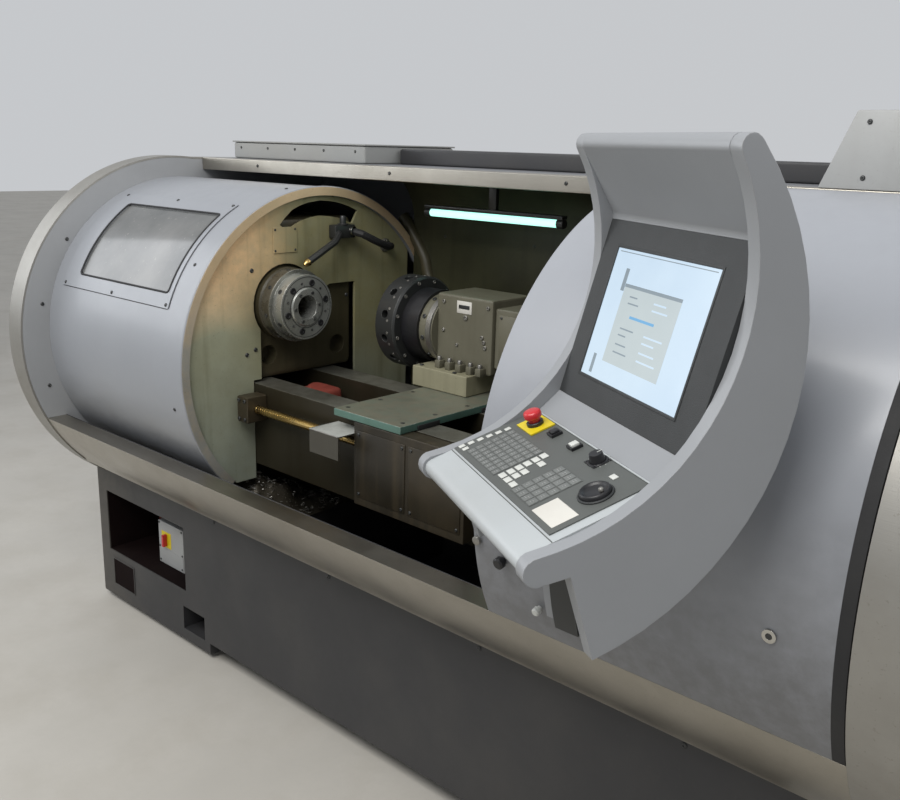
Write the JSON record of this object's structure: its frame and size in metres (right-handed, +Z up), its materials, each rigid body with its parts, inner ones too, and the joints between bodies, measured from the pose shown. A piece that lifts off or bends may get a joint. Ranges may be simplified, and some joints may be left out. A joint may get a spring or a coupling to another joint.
{
  "type": "cnc turning lathe",
  "caption": "CNC turning lathe with a drum over the spindle, a curved sliding door that carries a curved control console, a bed with a turret carriage, and a dark base.",
  "frame": {"origin": "middle of the footprint on the floor", "axes": "+X along the spindle and the bed to the right, away from the headstock; +Y to the back of the machine; +Z up"},
  "size_m": [3.1, 2.1454, 1.915],
  "materials": {
    "frame_paint": "satin dark grey paint",
    "ground_steel": "fine ground steel",
    "wall_paint": "satin mid grey paint",
    "stainless": "brushed stainless sheet",
    "roof_paint": "satin light grey paint",
    "light_grey": "satin light grey paint",
    "drum_paint": "satin light grey paint",
    "window_glass": "tinted safety glass",
    "plate_paint": "olive paint",
    "bare_steel": "brushed sheet steel",
    "rubber": "matt rubber",
    "casting_paint": "oily olive casting paint",
    "brass": "oiled brass",
    "dark_steel": "dark oiled steel",
    "slide_paint": "dark teal paint",
    "riser_paint": "aged cream paint",
    "turret_paint": "olive grey paint",
    "black_parts": "matt black",
    "splash_paint": "oily dark olive paint",
    "lamp_cover": "frosted lamp cover",
    "safety_red": "satin red plastic",
    "door_paint": "satin light grey paint",
    "console_paint": "satin grey paint",
    "deck_paint": "satin white grey paint",
    "bezel_plastic": "fine grained dark plastic",
    "screen_glass": "lit display glass",
    "panel_plastic": "satin grey plastic",
    "safety_yellow": "satin yellow plastic",
    "key_plastic": "satin white plastic"
  },
  "bodies": {
    "machine": {"base_frame": "frame_paint", "foot_front_left": "ground_steel", "foot_front_right": "ground_steel", "foot_rear_left": "ground_steel", "foot_rear_right": "ground_steel", "left_end_wall": "wall_paint", "right_end_wall": "wall_paint", "left_arch_trim": "stainless", "right_arch_trim": "stainless", "front_sill": "stainless", "top_rail": "stainless", "roof_and_rear_wall": "wall_paint", "headstock_roof_box": "roof_paint", "rear_channel": "frame_paint", "right_roof_box": "light_grey", "drum_shell": "drum_paint", "window_pane": "window_glass", "window_frame": "drum_paint", "drum_end_plate": "plate_paint", "service_cover": "bare_steel", "coolant_nozzle": "bare_steel", "coolant_hose": "rubber", "headstock_casting": "casting_paint", "front_bearing_cap": "casting_paint", "bed": "bare_steel", "ball_screw": "brass", "screw_bearing_left": "dark_steel", "screw_bearing_right": "dark_steel", "inner_splash_wall": "splash_paint", "work_light": "lamp_cover", "electrical_cabinet": "wall_paint", "switch_box": "light_grey", "coolant_tank": "light_grey"},
    "door": {"door_shell": "door_paint", "door_seal": "rubber", "door_lock": "ground_steel", "console_right_cheek": "console_paint", "console_left_cheek": "console_paint", "console_body": "console_paint", "console_deck": "deck_paint", "console_bezel": "bezel_plastic", "console_screen": "screen_glass", "key_panel": "panel_plastic", "stop_plate": "safety_yellow"},
    "carriage": {"saddle": "slide_paint", "apron": "casting_paint", "screw_cover": "bare_steel"},
    "cross_slide": {"turret_riser": "riser_paint", "turret_housing": "turret_paint", "turret_motor": "turret_paint"},
    "turret": {"turret_disc": "dark_steel", "turret_clutch": "black_parts"},
    "spindle_body": {"spindle": "ground_steel"},
    "switch_grip": {"main_switch": "safety_red"},
    "cabinet_leaf": {"cabinet_door": "wall_paint"},
    "stop_button": {"emergency_stop": "safety_red"},
    "black_button": {"black_push_button": "black_parts"},
    "white_button": {"white_push_button": "key_plastic"},
    "override": {"override_knob": "black_parts"},
    "jog": {"jog_wheel": "bare_steel"}
  },
  "joints": [
    {"name": "door_slide", "type": "slide", "parent": "machine", "child": "door", "axis": [1, 0, 0], "range_m": [-2.1, 0]},
    {"name": "spindle_turn", "type": "hinge", "parent": "machine", "child": "spindle_body", "pos_m": [-0.513, -0.1139, 1.297], "axis": [1, 0, 0], "continuous": true},
    {"name": "carriage_slide", "type": "slide", "parent": "machine", "child": "carriage", "axis": [1, 0, 0], "range_m": [-0.14, 0.45]},
    {"name": "cross_slide_feed", "type": "slide", "parent": "carriage", "child": "cross_slide", "axis": [0, 1, 0], "range_m": [-0.155, 0.05]},
    {"name": "turret_index", "type": "hinge", "parent": "cross_slide", "child": "turret", "pos_m": [-0.2, 0.1921, 1.245], "axis": [1, 0, 0], "continuous": true},
    {"name": "main_switch_turn", "type": "hinge", "parent": "machine", "child": "switch_grip", "pos_m": [-1.185, -0.2635, 0.325], "axis": [0, 1, 0], "range_deg": [0, 90]},
    {"name": "cabinet_hinge", "type": "hinge", "parent": "machine", "child": "cabinet_leaf", "pos_m": [0.1596, 1.0627, 1.14], "axis": [0, 0, 1], "range_deg": [-110, 0]},
    {"name": "emergency_stop_press", "type": "slide", "parent": "door", "child": "stop_button", "axis": [0.1729, 0.3131, -0.9339], "range_m": [0, 0.004]},
    {"name": "black_button_press", "type": "slide", "parent": "door", "child": "black_button", "axis": [0.1729, 0.3131, -0.9339], "range_m": [0, 0.0015], "stiffness_N_per_m": 600, "springref_m": -0.002},
    {"name": "white_button_press", "type": "slide", "parent": "door", "child": "white_button", "axis": [0.1729, 0.3131, -0.9339], "range_m": [0, 0.0015], "stiffness_N_per_m": 600, "springref_m": -0.002},
    {"name": "override_turn", "type": "hinge", "parent": "door", "child": "override", "pos_m": [1.06856, -0.79665, 1.3162], "axis": [-0.1729, -0.3131, 0.9339], "range_deg": [-135, 135]},
    {"name": "jog_turn", "type": "hinge", "parent": "door", "child": "jog", "pos_m": [1.12695, -0.8864, 1.29692], "axis": [-0.1729, -0.3131, 0.9339], "continuous": true}
  ]
}
